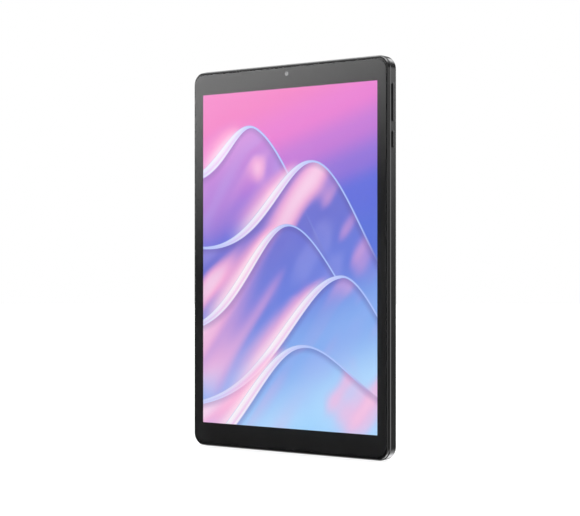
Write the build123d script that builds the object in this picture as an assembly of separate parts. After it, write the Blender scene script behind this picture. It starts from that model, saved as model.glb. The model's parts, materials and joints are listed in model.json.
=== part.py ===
from build123d import *
import os

os.makedirs("parts", exist_ok=True)

# Tablet computer, standing upright on its short edge. Millimetres.
# X runs across the screen, Y from the screen (-Y) to the back (+Y), Z up the long side.
# The origin is at the middle of the back, where a hand, stand or bracket holds the tablet.
# "Depth" is the distance behind the front surface of the glass.
# Heights, named low, high or z below, are above the bottom edge, which is at Z = -middle.

# Overall outline
height = 248.4
width = 151.5
corner_radius = 8.5

# Layers, from the front surface to the back
glass_thickness = 0.8
ink_thickness = 0.05
film_thickness = 0.1
panel_thickness = 0.8
diffuser_thickness = 0.3
guide_thickness = 0.55
reflector_thickness = 0.1
tray_floor = 0.25
display_gap = 0.1
plate_thickness = 0.6
inner_depth = 5.9
back_wall = 0.9

# Edge of the tablet
glass_proud = 0.3
glass_edge_round = 0.12
glass_inset = 1.38
glass_end_inset = 2.45
glass_seam = 0.1
ring_depth = 3.2
ring_inset = 0.42
ring_round = 0.8
ring_end_round = 2.0
skirt_depth = 4.35
skirt_wall = 1.2
edge_chamfer = 0.4
back_edge_radius = 1.2
housing_wall = 1.6
frame_gap = 0.1

# Screen
side_border = 7.95
bottom_border = 15.8
top_border = 15.7
ink_overlap = 0.15
panel_side_margin = 2.2
panel_top_margin = 2.4
panel_driver_margin = 6.7
pocket_gap = 0.3
tray_wall = 0.2
tape_width = 1.8
tape_edge_gap = 0.3
light_bar_height = 1.4
led_count = 36
led_length = 2.2
led_height = 0.7

# Lugs that snap the frame into the housing
lug_length = 8.0
lug_height = 0.4
lug_thickness = 0.55
lug_start = 0.5
lug_gap = 0.08
side_lug_count = 5
side_lug_end_gap = 30.0
end_lug_count = 3
end_lug_end_gap = 34.0

# Front camera and light sensor
front_camera_drop = 6.4
front_camera_size = 5.8
front_camera_depth = 2.1
front_lens_radius = 2.1
front_lens_depth = 1.3
front_lens_wall = 0.5
front_lens_sunk = 0.3
front_lens_dome = 0.45
camera_hole_radius = 1.45
camera_pocket_gap = 0.15
sensor_offset = 4.0
sensor_size = 1.3
sensor_depth = 0.7
sensor_hole_radius = 0.5

# Side keys
volume_key_length = 23.2
power_key_length = 10.0
key_width = 2.0
key_proud = 0.9
key_edge_round = 0.25
key_gap = 0.14
volume_key_drop = 29.05
key_spacing = 6.0
key_flange_overlap = 0.3
key_flange_ends = 1.3
key_flange_thickness = 0.5
rocker_flange_gap = 0.35
button_flange_gap = 0.05
nub_radius = 0.7
nub_spread = 8.5
nub_gap = 0.2
power_travel = 0.3
plunger_radius = 0.8
plunger_gap = 0.05
plunger_depth = 1.0
switch_size = 2.8
switch_thickness = 1.3
key_flex_thickness = 0.15
key_bracket_thickness = 0.5
key_bracket_width = 3.0
key_flex_end = 0.5
key_bracket_end = 1.5
switch_room = 3.05

# Ports
usb_width = 8.94
usb_height = 3.16
usb_wall = 0.3
usb_corner = 1.25
usb_depth = 7.4
usb_back = 0.6
usb_recess = 0.15
usb_tongue_width = 6.69
usb_tongue_height = 0.7
usb_tongue_recess = 1.2
port_gap = 0.1
jack_bore_radius = 1.8
jack_nose_radius = 2.2
jack_body_width = 6.4
jack_body_length = 12.0
jack_wall = 0.8
jack_recess = 0.1
jack_side_offset = 15.75

# Memory card tray, in the left side
tray_drop = 49.0
tray_cap_length = 17.0
tray_cap_width = 2.0
tray_blade_width = 13.6
tray_blade_thickness = 0.9
tray_gap = 0.1
nail_notch_radius = 1.6
nail_notch_depth = 0.5
card_length = 15.0
card_width = 11.0
card_thickness = 0.7
card_gap = 0.08
card_end = 1.2
card_corner_length = 2.5
card_corner_width = 1.2
reader_wall = 0.2
reader_length = 17.5

# Speakers, along the bottom edge
speaker_width = 16.0
speaker_board_gap = 7.35
speaker_side_gap = 4.8
speaker_wall = 0.7
speaker_front_gap = 0.1
speaker_back_gap = 0.15
speaker_edge_gap = 0.55
diaphragm_length = 17.0
diaphragm_width = 10.0
diaphragm_thickness = 0.25
diaphragm_gap = 0.15
diaphragm_travel = 0.25
diaphragm_room = 0.1
diaphragm_corner = 2.5
coil_height = 0.9
coil_wall = 0.35
coil_gap = 0.15
coil_inset = 1.6
coil_corner = 1.2
magnet_height = 2.0
mesh_thickness = 0.2
mesh_gap = 0.1
mesh_overlap = 1.0
slot_count = 7
slot_room = 9.8
slot_share = 0.7
slot_width = 1.1
speaker_ear = 4.0

# Rear camera and antenna cover
rear_camera_side = 17.75
rear_camera_drop = 17.2
camera_ring_radius = 5.3
camera_window_radius = 4.1
camera_hole = 3.3
camera_flange_radius = 6.2
camera_flange_thickness = 0.4
camera_glass_thickness = 0.6
camera_glass_gap = 0.05
camera_ring_chamfer = 0.15
rear_camera_size = 9.0
rear_camera_clearance = 0.15
barrel_radius = 3.2
barrel_length = 2.6
barrel_bore_radius = 1.6
barrel_gap = 0.08
barrel_room = 0.1
focus_travel = 0.25
rear_lens_seat = 0.6
rear_lens_sunk = 0.05
rear_lens_gap = 0.02
rear_lens_dome = 0.3
antenna_cover_width = 96.0
antenna_cover_height = 14.0
antenna_cover_drop = 14.5
antenna_cover_corner = 3.0
antenna_cover_step = 1.0
antenna_cover_camera_gap = 2.0
cover_gap = 0.08
antenna_thickness = 0.1
antenna_gap = 0.1
antenna_height = 8.0
# Each antenna: its middle from the cover's middle, and its length
antenna_places = [(-26.0, 30.0), (24.0, 24.0)]

# Boards
board_standoff = 0.95
board_thickness = 0.8
main_board_drop = 11.2
main_board_height = 54.0
main_board_side_gap = 9.5
sub_board_width = 40.0
sub_board_edge_gap = 0.7
sub_board_height = 25.0
board_cut_gap = 0.6
can_wall = 0.2
spreader_thickness = 0.1
spreader_gap = 0.5
connector_height = 0.8
link_plug_width = 2.6
link_plug_side = 1.0
link_plug_drop = 4.5
link_plug_rise = 5.5
battery_plug_x = 12.0
battery_plug_side = 0.6
battery_plug_height = 1.4
battery_plug_rise = 0.6
battery_plug_width = 3.0
display_plug_width = 3.0
# Shielded areas on the main board: left, right, up from its lower edge, and height
shield_areas = [(-42.0, -12.0, 8.5, 30.0), (-8.0, 22.0, 8.5, 34.0), (26.0, 44.0, 8.5, 22.0)]
# Chips in the shielded areas: centre X, up from the board's lower edge, width, height
chips = [(-34.0, 18.0, 12.0, 11.5), (-19.5, 27.0, 9.0, 11.5), (7.0, 28.0, 15.0, 15.0), (35.0, 20.0, 8.0, 8.0)]
chip_height = 0.9
screw_radius = 0.6
screw_head_radius = 1.25
screw_head_height = 0.5
standoff_radius = 1.7
screw_clearance = 0.15
thread_clearance = 0.02
screw_head_round = 0.15
screw_end_gap = 0.1
screw_cross_length = 1.5
screw_cross_width = 0.28
screw_cross_depth = 0.2
main_screw_edge = 3.2
jack_screw_inset = 22.0
camera_screw_inset = 24.0
sub_screw_edge = 3.0
microphone_size = 2.6
microphone_height = 1.0
mic_hole_radius = 0.5
top_mic_x = 22.0
bottom_mic_x = 13.0

# Battery
battery_gap = 8.0
battery_side_gap = 10.0
battery_end_gap = 8.0
battery_tape_thickness = 0.15
battery_tape_width = 10.0
battery_tape_end_gap = 6.0
battery_tape_places = (0.3, 0.7)
battery_back_gap = 0.7
battery_corner = 2.0
battery_chamfer = 0.4
protection_board_width = 5.0
protection_board_length = 84.0
protection_board_gap = 0.3
wire_radius = 0.45
wire_pitch = 1.3
wire_count = 4
wire_lift = 0.05
wire_overlap = 0.7

# Cables
link_width = 5.0
link_thickness = 0.15
coax_radius = 0.6
coax_lift = 0.3
coax_bend = 3.0
coax_plug_radius = 1.4
coax_plug_inset = 10.0
coax_plug_up = 4.5
coax_turn_drop = 4.5
coax_sub_inset = 5.0
coax_sub_drop = 7.0
display_flex_width = 24.0
display_flex_thickness = 0.12
flex_notch_gap = 0.5

# Depths that follow from the layers
glass_back = glass_thickness
ink_back = glass_back + ink_thickness
film_back = ink_back + film_thickness
panel_back = film_back + panel_thickness
diffuser_back = panel_back + diffuser_thickness
guide_back = diffuser_back + guide_thickness
reflector_back = guide_back + reflector_thickness
tray_back = reflector_back + tray_floor
plate_front = tray_back + display_gap
plate_back = plate_front + plate_thickness
wall_front = plate_back + inner_depth
thickness = wall_front + back_wall

# Places that follow
middle = height / 2
half_width = width / 2
front_y = -thickness
cavity_half = half_width - housing_wall
cavity_low = housing_wall
cavity_high = height - housing_wall
side_middle = (ring_depth + edge_chamfer + thickness - back_edge_radius) / 2
port_depth = side_middle
key_depth = skirt_depth + key_gap + key_flange_overlap + key_width / 2
screen_half = half_width - side_border
screen_low = bottom_border
screen_high = height - top_border
panel_half = screen_half + panel_side_margin
panel_low = screen_low - panel_driver_margin
panel_high = screen_high + panel_top_margin
front_camera_z = height - front_camera_drop
frame_inset = housing_wall + frame_gap
board_front = plate_back + board_standoff
board_back = board_front + board_thickness
main_high = height - main_board_drop
main_low = main_high - main_board_height
main_half = cavity_half - main_board_side_gap
sub_low = cavity_low + sub_board_edge_gap
sub_high = sub_low + sub_board_height
volume_z = height - volume_key_drop
power_z = volume_z - volume_key_length / 2 - key_spacing - power_key_length / 2
flex_x = cavity_half - switch_room
camera_x = half_width - rear_camera_side
camera_z = height - rear_camera_drop
jack_x = -half_width + jack_side_offset
tray_z = height - tray_drop
blade_half = tray_blade_thickness / 2
reader_half = blade_half + tray_gap + reader_wall
tray_depth = board_back + reader_half
reader_near_x = -cavity_half + frame_gap
battery_low = sub_high + battery_end_gap
battery_high = main_low - battery_end_gap - protection_board_width
battery_half = cavity_half - battery_side_gap
battery_front = plate_back + battery_tape_thickness
battery_back = wall_front - battery_back_gap
can_back = wall_front - spreader_gap - spreader_thickness
speaker_front = skirt_depth + speaker_front_gap
speaker_back = wall_front - speaker_back_gap
speaker_low = cavity_low + speaker_edge_gap
speaker_high = speaker_low + speaker_width
speaker_outer = cavity_half - speaker_side_gap
speaker_inner = sub_board_width / 2 + speaker_board_gap
speaker_length = speaker_outer - speaker_inner
slot_pitch = (speaker_length - slot_room) / slot_count
slot_length = slot_pitch * slot_share
speaker_x = (speaker_outer + speaker_inner) / 2
speaker_z = (speaker_low + speaker_high) / 2


def block(left, right, near, far, low, high):
    """Box between two X, two depths and two heights."""
    centre = ((left + right) / 2, front_y + (near + far) / 2, (low + high) / 2 - middle)
    return Pos(*centre) * Box(right - left, far - near, high - low)


def slab(across, tall, radius, near, far, x=0.0, z=middle):
    """Rounded rectangle facing the screen side, between two depths."""
    face = Plane(origin=(x, front_y + near, z - middle), x_dir=(1, 0, 0), z_dir=(0, 1, 0))
    return extrude(face * RectangleRounded(across, tall, radius), far - near)


def inset_slab(inset, near, far):
    """The tablet's outline moved inwards by an inset, between two depths."""
    return slab(width - 2 * inset, height - 2 * inset, corner_radius - inset, near, far)


def glass_slab(inset, near, far):
    """The cover glass's outline moved inwards by an inset, between two depths."""
    side, end = glass_inset + inset, glass_end_inset + inset
    return slab(width - 2 * side, height - 2 * end, corner_radius - side, near, far)


def disc(x, z, radius, near, far):
    """Cylinder along Y between two depths."""
    face = Plane(origin=(x, front_y + near, z - middle), x_dir=(1, 0, 0), z_dir=(0, 1, 0))
    return extrude(face * Circle(radius), far - near)


def side_pill(length, across, left, right, depth, z):
    """Slot outline on the tablet's side, long way up, between two X."""
    face = Plane(origin=(left, front_y + depth, z - middle), x_dir=(0, 0, 1), z_dir=(1, 0, 0))
    return extrude(face * SlotOverall(length, across), right - left)


def side_disc(radius, left, right, depth, z):
    """Cylinder along X between two X."""
    face = Plane(origin=(left, front_y + depth, z - middle), x_dir=(0, 0, 1), z_dir=(1, 0, 0))
    return extrude(face * Circle(radius), right - left)


def end_pill(length, across, low, high, x, depth):
    """Slot outline on the top or bottom edge, between two heights."""
    face = Plane(origin=(x, front_y + depth, low - middle), x_dir=(1, 0, 0), z_dir=(0, 0, 1))
    return extrude(face * SlotOverall(length, across), high - low)


def end_disc(radius, low, high, x, depth):
    """Cylinder along Z between two heights."""
    face = Plane(origin=(x, front_y + depth, low - middle), x_dir=(1, 0, 0), z_dir=(0, 0, 1))
    return extrude(face * Circle(radius), high - low)


def end_slab(across, deep, radius, low, high, x, depth):
    """Rounded rectangle on the top or bottom edge, between two heights."""
    face = Plane(origin=(x, front_y + depth, low - middle), x_dir=(1, 0, 0), z_dir=(0, 0, 1))
    return extrude(face * RectangleRounded(across, deep, radius), high - low)


def write(shape, node):
    """One STEP file per piece."""
    export_step(shape, f"parts/{node}.step")


def group(shapes):
    """Separate solids that share a node."""
    return Compound(children=[part for shape in shapes for part in shape.solids()])


def spread(half_span, count):
    """Evenly spaced places from -half_span to half_span."""
    return [half_span * (2 * index / (count - 1) - 1) for index in range(count)]


# Screen

def cover_glass():
    glass = glass_slab(0, 0, glass_back)
    return fillet(glass.edges().group_by(Axis.Y)[0], glass_edge_round)


def glass_border_mask():
    ink = glass_slab(0, glass_back, ink_back)
    window_half = screen_half + ink_overlap
    window = block(
        -window_half, window_half, glass_back, ink_back, screen_low - ink_overlap, screen_high + ink_overlap
    )
    camera = disc(0, front_camera_z, camera_hole_radius, glass_back, ink_back)
    sensor = disc(-sensor_offset, front_camera_z, sensor_hole_radius, glass_back, ink_back)
    return ink - window - camera - sensor


def bonding_film():
    window_half = screen_half + ink_overlap
    window = block(
        -window_half, window_half, glass_back, ink_back, screen_low - ink_overlap, screen_high + ink_overlap
    )
    return window + block(-panel_half, panel_half, ink_back, film_back, panel_low, panel_high)


def display_tape():
    outer = glass_slab(tape_edge_gap, ink_back, film_back)
    return outer - glass_slab(tape_edge_gap + tape_width, ink_back, film_back)


def lcd_panel():
    return block(-panel_half, panel_half, film_back, panel_back, panel_low, panel_high)


def tray_room():
    """Inside of the backlight tray: half width, low and high."""
    return panel_half - tray_wall, panel_low + tray_wall, panel_high - tray_wall


def backlight_films():
    half, low, high = tray_room()
    return block(-half, half, panel_back, diffuser_back, low, high)


def light_guide():
    half, low, high = tray_room()
    return block(-half, half, diffuser_back, guide_back, low + light_bar_height + led_height, high)


def led_light_bar():
    half, low, high = tray_room()
    bar = block(-half, half, diffuser_back, guide_back, low, low + light_bar_height)
    led_low = low + light_bar_height
    leds = [
        block(
            x - led_length / 2, x + led_length / 2, diffuser_back, guide_back, led_low, led_low + led_height
        )
        for x in spread(half - led_length, led_count)
    ]
    return bar.fuse(*leds)


def reflector_sheet():
    half, low, high = tray_room()
    return block(-half, half, guide_back, reflector_back, low, high)


def backlight_tray():
    half, low, high = tray_room()
    outer = block(-panel_half, panel_half, panel_back, tray_back, panel_low, panel_high)
    return outer - block(-half, half, panel_back, reflector_back, low, high)


def flex_span():
    """Low and high of the display cable where it passes behind the panel's lower edge."""
    high = panel_low - 2 * display_flex_thickness
    return high - display_flex_thickness, high


def display_flex():
    half = display_flex_width / 2
    low, high = flex_span()
    start = film_back + panel_thickness / 2
    end = board_front - connector_height / 2
    lead = block(-half, half, start, start + display_flex_thickness, low, panel_low)
    turn = block(-half, half, start, end, low, high)
    tail = block(-half, half, end - display_flex_thickness, end, low, sub_low + sub_board_height / 2)
    return lead + turn + tail


# Frame and housing

def lug_boxes(extra):
    """Snap lugs round the frame's skirt, or with extra their pockets in the housing."""
    near = ring_depth + lug_start - extra
    far = near + lug_thickness + 2 * extra
    reach = lug_height + extra
    half = lug_length / 2 + extra
    side = half_width - frame_inset
    top = height - frame_inset
    boxes = []
    for offset in spread(middle - side_lug_end_gap, side_lug_count):
        z = middle + offset
        boxes.append(block(side, side + reach, near, far, z - half, z + half))
        boxes.append(block(-side - reach, -side, near, far, z - half, z + half))
    for x in spread(half_width - end_lug_end_gap, end_lug_count):
        boxes.append(block(x - half, x + half, near, far, top, top + reach))
        boxes.append(block(x - half, x + half, near, far, frame_inset - reach, frame_inset))
    return boxes


def main_screw_places():
    """Main board screws: X and Z."""
    side = main_half - main_screw_edge
    low = main_low + main_screw_edge
    high = main_high - main_screw_edge
    upper = [(-side + jack_screw_inset, high), (side - camera_screw_inset, high)]
    return [(-side, low), (side, low), (0, low), *upper]


def sub_screw_places():
    """Lower board screws: X and Z."""
    side = sub_board_width / 2 - sub_screw_edge
    z = sub_high - sub_screw_edge
    return [(-side, z), (side, z)]


def speaker_screw_places():
    """Speaker ear screws: X and Z, two on each side."""
    z = speaker_high + speaker_ear / 2
    inner = speaker_inner + speaker_ear / 2
    outer = speaker_outer - speaker_ear / 2
    return [(side * x, z) for side in (-1, 1) for x in (inner, outer)]


def front_frame():
    ring = inset_slab(ring_inset, glass_proud, ring_depth)
    ring = fillet(ring.edges().group_by(Axis.Y)[0], ring_round)
    crown = block(-half_width, half_width, glass_proud, ring_depth, ring_inset, height - ring_inset)
    crown = fillet(crown.edges().filter_by(Axis.X).group_by(Axis.Y)[0], ring_end_round)
    ring = ring & crown
    frame = ring + inset_slab(frame_inset, ring_depth, skirt_depth)
    frame -= inset_slab(frame_inset + skirt_wall, plate_back, skirt_depth)
    frame = frame.fuse(*lug_boxes(0))
    frame -= glass_slab(-glass_seam, glass_proud, film_back)
    pocket = panel_half + pocket_gap
    frame -= block(
        -pocket, pocket, film_back, plate_front, panel_low - pocket_gap, panel_high + pocket_gap
    )
    camera_half = front_camera_size / 2 + camera_pocket_gap
    frame -= block(
        -camera_half, camera_half, film_back, plate_back,
        front_camera_z - camera_half, front_camera_z + camera_half,
    )
    sensor_half = sensor_size / 2 + camera_pocket_gap
    sensor_x = -sensor_offset
    frame -= block(
        sensor_x - sensor_half, sensor_x + sensor_half, film_back, film_back + sensor_depth,
        front_camera_z - sensor_half, front_camera_z + sensor_half,
    )
    flex_half = display_flex_width / 2 + flex_notch_gap
    low, high = flex_span()
    frame -= block(-flex_half, flex_half, film_back, plate_back, low - flex_notch_gap, panel_low)
    jack_half = jack_body_width / 2 + port_gap
    frame -= block(
        jack_x - jack_half, jack_x + jack_half, plate_back, skirt_depth,
        cavity_high - jack_body_length - port_gap, cavity_high,
    )
    posts = [
        disc(x, z, standoff_radius, plate_back, board_front)
        for x, z in main_screw_places() + sub_screw_places()
    ]
    posts += [
        disc(x, z, standoff_radius, plate_back, board_front)
        for x, z in speaker_screw_places()
    ]
    frame = frame.fuse(*posts)
    holes = [
        disc(x, z, screw_radius + thread_clearance, plate_back, board_front)
        for x, z in main_screw_places() + sub_screw_places() + speaker_screw_places()
    ]
    return frame.cut(*holes)


def key_opening(length, z):
    """Opening in the right side for a key."""
    return side_pill(
        length + 2 * key_gap, key_width + 2 * key_gap, cavity_half, half_width, key_depth, z
    )


def speaker_slots(side):
    """Sound slots through the bottom wall under one speaker."""
    half_span = slot_pitch * (slot_count - 1) / 2
    return [
        end_pill(slot_length, slot_width, 0, cavity_low, side * speaker_x + offset, port_depth)
        for offset in spread(half_span, slot_count)
    ]


def rear_housing():
    shell = inset_slab(0, ring_depth, thickness)
    shell = chamfer(shell.edges().group_by(Axis.Y)[0], edge_chamfer)
    shell = fillet(shell.edges().group_by(Axis.Y)[-1], back_edge_radius)
    shell -= inset_slab(housing_wall, ring_depth, wall_front)
    shell = shell.cut(*lug_boxes(lug_gap))
    shell -= key_opening(volume_key_length, volume_z)
    shell -= key_opening(power_key_length, power_z)
    shell -= side_pill(
        tray_cap_length + 2 * tray_gap, tray_cap_width + 2 * tray_gap,
        -half_width, -cavity_half, tray_depth, tray_z,
    )
    shell -= end_disc(jack_nose_radius + port_gap, cavity_high, height, jack_x, port_depth)
    shell -= end_slab(
        usb_width + 2 * port_gap, usb_height + 2 * port_gap, usb_corner + port_gap,
        0, cavity_low, 0, port_depth,
    )
    shell = shell.cut(*speaker_slots(-1), *speaker_slots(1))
    shell -= end_disc(mic_hole_radius, 0, cavity_low, bottom_mic_x, port_depth)
    shell -= end_disc(mic_hole_radius, cavity_high, height, top_mic_x, port_depth)
    shell -= disc(camera_x, camera_z, camera_ring_radius + camera_glass_gap, wall_front, thickness)
    cover_z = height - antenna_cover_drop
    shell -= slab(
        antenna_cover_width, antenna_cover_height, antenna_cover_corner,
        wall_front + back_wall / 2, thickness, antenna_cover_x(), cover_z,
    )
    shell -= slab(
        antenna_cover_width - 2 * antenna_cover_step, antenna_cover_height - 2 * antenna_cover_step,
        antenna_cover_corner - antenna_cover_step, wall_front, thickness, antenna_cover_x(), cover_z,
    )
    return shell


def antenna_cover_x():
    """Middle of the antenna cover, clear of the rear camera."""
    edge = camera_x - camera_flange_radius - antenna_cover_step - antenna_cover_camera_gap
    return edge - antenna_cover_width / 2


def antenna_cover():
    cover_z = height - antenna_cover_drop
    outer = slab(
        antenna_cover_width - 2 * cover_gap, antenna_cover_height - 2 * cover_gap,
        antenna_cover_corner - cover_gap, wall_front + back_wall / 2, thickness,
        antenna_cover_x(), cover_z,
    )
    shrink = antenna_cover_step + cover_gap
    inner = slab(
        antenna_cover_width - 2 * shrink, antenna_cover_height - 2 * shrink,
        antenna_cover_corner - shrink, wall_front, wall_front + back_wall / 2,
        antenna_cover_x(), cover_z,
    )
    return outer + inner


# Side keys

def key(length, z, flange_gap):
    """Key cap through the side wall with the flange that keeps it in."""
    flange_x = cavity_half - flange_gap
    cap = side_pill(length, key_width, flange_x, half_width + key_proud, key_depth, z)
    cap = fillet(cap.edges().group_by(Axis.X)[-1], key_edge_round)
    half_long = length / 2 + key_flange_ends
    half_wide = key_width / 2 + key_flange_overlap
    return cap + block(
        flange_x - key_flange_thickness, flange_x, key_depth - half_wide, key_depth + half_wide,
        z - half_long, z + half_long,
    )


def volume_rocker():
    rocker = key(volume_key_length, volume_z, rocker_flange_gap)
    back_x = cavity_half - rocker_flange_gap - key_flange_thickness
    tip_x = flex_x + switch_thickness + nub_gap
    for side in (-1, 1):
        rocker += side_disc(nub_radius, tip_x, back_x, key_depth, volume_z + side * nub_spread)
    return rocker


def button_tip_x():
    """Where the power button's nub meets the switch's plunger."""
    return flex_x + switch_thickness + power_travel + 2 * plunger_gap


def power_button():
    button = key(power_key_length, power_z, button_flange_gap)
    back_x = cavity_half - button_flange_gap - key_flange_thickness
    return button + side_disc(nub_radius, button_tip_x(), back_x, key_depth, power_z)


def power_switch_plunger():
    tip = button_tip_x() - thread_clearance
    return side_disc(plunger_radius, tip - plunger_depth, tip, key_depth, power_z)


def side_key_switches():
    half = switch_size / 2
    places = [volume_z - nub_spread, volume_z + nub_spread, power_z]
    switches = [
        block(
            flex_x, flex_x + switch_thickness, key_depth - half / 2, key_depth + half / 2,
            z - half, z + half,
        )
        for z in places
    ]
    bore_end = button_tip_x() - plunger_depth - power_travel - 2 * plunger_gap
    switches[2] -= side_disc(
        plunger_radius + plunger_gap, bore_end, flex_x + switch_thickness, key_depth, power_z
    )
    return group(switches)


def key_strip(back_x, front_x, half_wide, end_gap):
    """Strip behind both keys."""
    low = power_z - power_key_length / 2 - end_gap
    high = volume_z + volume_key_length / 2 + end_gap
    return block(back_x, front_x, key_depth - half_wide, key_depth + half_wide, low, high)


def side_key_flex():
    return key_strip(flex_x - key_flex_thickness, flex_x, key_width / 2, key_flex_end)


def side_key_bracket():
    back_x = flex_x - key_flex_thickness - key_bracket_thickness
    upright = key_strip(back_x, flex_x - key_flex_thickness, key_width / 2, key_bracket_end)
    low = power_z - power_key_length / 2 - key_bracket_end
    high = volume_z + volume_key_length / 2 + key_bracket_end
    front = key_depth - key_width / 2
    foot = block(back_x - key_bracket_width, back_x + key_bracket_thickness, plate_back, front, low, high)
    return upright + foot


# Ports

def usb_c_shell():
    outer = end_slab(usb_width, usb_height, usb_corner, usb_recess, usb_recess + usb_depth, 0, port_depth)
    return outer - end_slab(
        usb_width - 2 * usb_wall, usb_height - 2 * usb_wall, usb_corner - usb_wall,
        usb_recess, usb_recess + usb_depth - usb_back, 0, port_depth,
    )


def usb_c_tongue():
    half = usb_tongue_height / 2
    return block(
        -usb_tongue_width / 2, usb_tongue_width / 2, port_depth - half, port_depth + half,
        usb_tongue_recess, usb_recess + usb_depth - usb_back,
    )


def headphone_jack():
    low = cavity_high - port_gap - jack_body_length
    half = jack_body_width / 2
    body = block(
        jack_x - half, jack_x + half, port_depth - jack_nose_radius, port_depth + jack_nose_radius,
        low, cavity_high - port_gap,
    )
    jack = body + end_disc(jack_nose_radius, cavity_high - port_gap, height - jack_recess, jack_x, port_depth)
    return jack - end_disc(jack_bore_radius, low + jack_wall, height, jack_x, port_depth)


def card_reader():
    half = tray_blade_width / 2 + tray_gap + reader_wall
    shell = block(
        reader_near_x, reader_near_x + reader_length + reader_wall + 2 * tray_gap,
        board_back, board_back + 2 * reader_half, tray_z - half, tray_z + half,
    )
    return shell - block(
        reader_near_x, reader_near_x + reader_length + 2 * tray_gap,
        board_back + reader_wall, board_back + 2 * reader_half - reader_wall,
        tray_z - half + reader_wall, tray_z + half - reader_wall,
    )


def card_place():
    """Left and right X of the memory card in its tray."""
    right = reader_near_x + reader_length - card_end
    return right - card_length, right


def card_tray():
    cap = side_pill(
        tray_cap_length, tray_cap_width, -half_width, -cavity_half, tray_depth, tray_z
    )
    cap -= side_disc(
        nail_notch_radius, -half_width, -half_width + nail_notch_depth, tray_depth - tray_cap_width, tray_z
    )
    blade = block(
        -cavity_half, reader_near_x + reader_length, tray_depth - blade_half, tray_depth + blade_half,
        tray_z - tray_blade_width / 2, tray_z + tray_blade_width / 2,
    )
    left, right = card_place()
    half = card_width / 2 + card_gap
    pocket = block(
        left - card_gap, right + card_gap,
        tray_depth + blade_half - card_thickness, tray_depth + blade_half, tray_z - half, tray_z + half,
    )
    return cap + blade - pocket


def memory_card():
    left, right = card_place()
    half = card_width / 2
    card = block(
        left, right, tray_depth + blade_half - card_thickness, tray_depth + blade_half,
        tray_z - half, tray_z + half,
    )
    corner = block(
        right - card_corner_length, right, tray_depth - blade_half, tray_depth + blade_half,
        tray_z + half - card_corner_width, tray_z + half,
    )
    return card - corner


# Speakers

def speaker_hole(side, grow, near, far):
    """Rounded opening or piece in the middle of a speaker."""
    return slab(
        diaphragm_length + 2 * grow, diaphragm_width + 2 * grow, diaphragm_corner + grow, near, far,
        side * speaker_x, speaker_z,
    )


def diaphragm_front():
    """Depth of the diaphragm's front face at rest."""
    return speaker_front + diaphragm_travel + diaphragm_room


def speaker_box(side):
    left = side * speaker_x - speaker_length / 2
    right = side * speaker_x + speaker_length / 2
    box = block(left, right, speaker_front, speaker_back, speaker_low, speaker_high)
    for x, z in speaker_screw_places():
        if x * side > 0:
            half = speaker_ear / 2
            ear = block(x - half, x + half, board_front, board_back, speaker_high, z + half)
            box += ear
            box -= disc(x, z, screw_radius + screw_clearance, board_front, board_back)
    box -= block(
        left + speaker_wall, right - speaker_wall, speaker_front + 2 * speaker_wall,
        speaker_back - speaker_wall, speaker_low + speaker_wall, speaker_high - speaker_wall,
    )
    box -= speaker_hole(side, diaphragm_gap, speaker_front, speaker_front + 2 * speaker_wall)
    half_outlet = slot_pitch * (slot_count - 1) / 2 + slot_length / 2
    return box - block(
        side * speaker_x - half_outlet, side * speaker_x + half_outlet,
        port_depth - slot_width / 2, port_depth + slot_width / 2, speaker_low, speaker_low + speaker_wall,
    )


def coil_outline(side, inset, near, far):
    """Rounded outline inside the diaphragm, for the coil and the magnet."""
    return slab(
        diaphragm_length - 2 * inset, diaphragm_width - 2 * inset, coil_corner, near, far,
        side * speaker_x, speaker_z,
    )


def speaker_diaphragm(side):
    front = diaphragm_front()
    back = front + diaphragm_thickness
    coil = coil_outline(side, coil_inset, back, back + coil_height)
    coil -= coil_outline(side, coil_inset + coil_wall, back, back + coil_height)
    return speaker_hole(side, 0, front, back) + coil


def speaker_magnet(side):
    inset = coil_inset + coil_wall + coil_gap
    back = speaker_back - speaker_wall
    return coil_outline(side, inset, back - magnet_height, back)


def speaker_meshes():
    half = slot_pitch * (slot_count - 1) / 2 + slot_length / 2 + mesh_overlap
    return group([
        block(
            side * speaker_x - half, side * speaker_x + half,
            port_depth - slot_width, port_depth + slot_width,
            cavity_low + mesh_gap, cavity_low + mesh_gap + mesh_thickness,
        )
        for side in (-1, 1)
    ])


# Cameras and sensors

def front_camera_module():
    half = front_camera_size / 2
    lens_back = film_back + front_lens_depth
    holder = disc(0, front_camera_z, front_lens_radius, film_back, lens_back)
    holder -= disc(0, front_camera_z, front_lens_radius - front_lens_wall, film_back, lens_back)
    base = block(
        -half, half, lens_back, lens_back + front_camera_depth, front_camera_z - half, front_camera_z + half
    )
    return holder + base


def front_camera_lens():
    radius = front_lens_radius - front_lens_wall
    near = film_back + front_lens_sunk
    lens = disc(0, front_camera_z, radius, near, film_back + front_lens_depth)
    return fillet(lens.edges().group_by(Axis.Y)[0], front_lens_dome)


def light_sensor():
    half = sensor_size / 2
    return block(
        -sensor_offset - half, -sensor_offset + half, film_back, film_back + sensor_depth,
        front_camera_z - half, front_camera_z + half,
    )


def rear_camera_ring():
    tube = disc(camera_x, camera_z, camera_ring_radius, wall_front, thickness)
    tube = chamfer(tube.edges().group_by(Axis.Y)[-1], camera_ring_chamfer)
    flange = disc(
        camera_x, camera_z, camera_flange_radius, wall_front - camera_flange_thickness, wall_front
    )
    seat = thickness - camera_glass_thickness - camera_glass_gap
    ring = tube + flange
    ring -= disc(camera_x, camera_z, camera_hole, wall_front - camera_flange_thickness, seat)
    return ring - disc(camera_x, camera_z, camera_window_radius, seat, thickness)


def rear_camera_glass():
    seat = thickness - camera_glass_thickness - camera_glass_gap
    return disc(
        camera_x, camera_z, camera_window_radius - camera_glass_gap, seat, seat + camera_glass_thickness
    )


def camera_back_depth():
    """Rear face of the rear camera's body."""
    return wall_front - camera_flange_thickness - rear_camera_clearance


def barrel_back_depth():
    """Outer end of the focusing barrel at rest."""
    return camera_back_depth() - focus_travel


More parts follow.
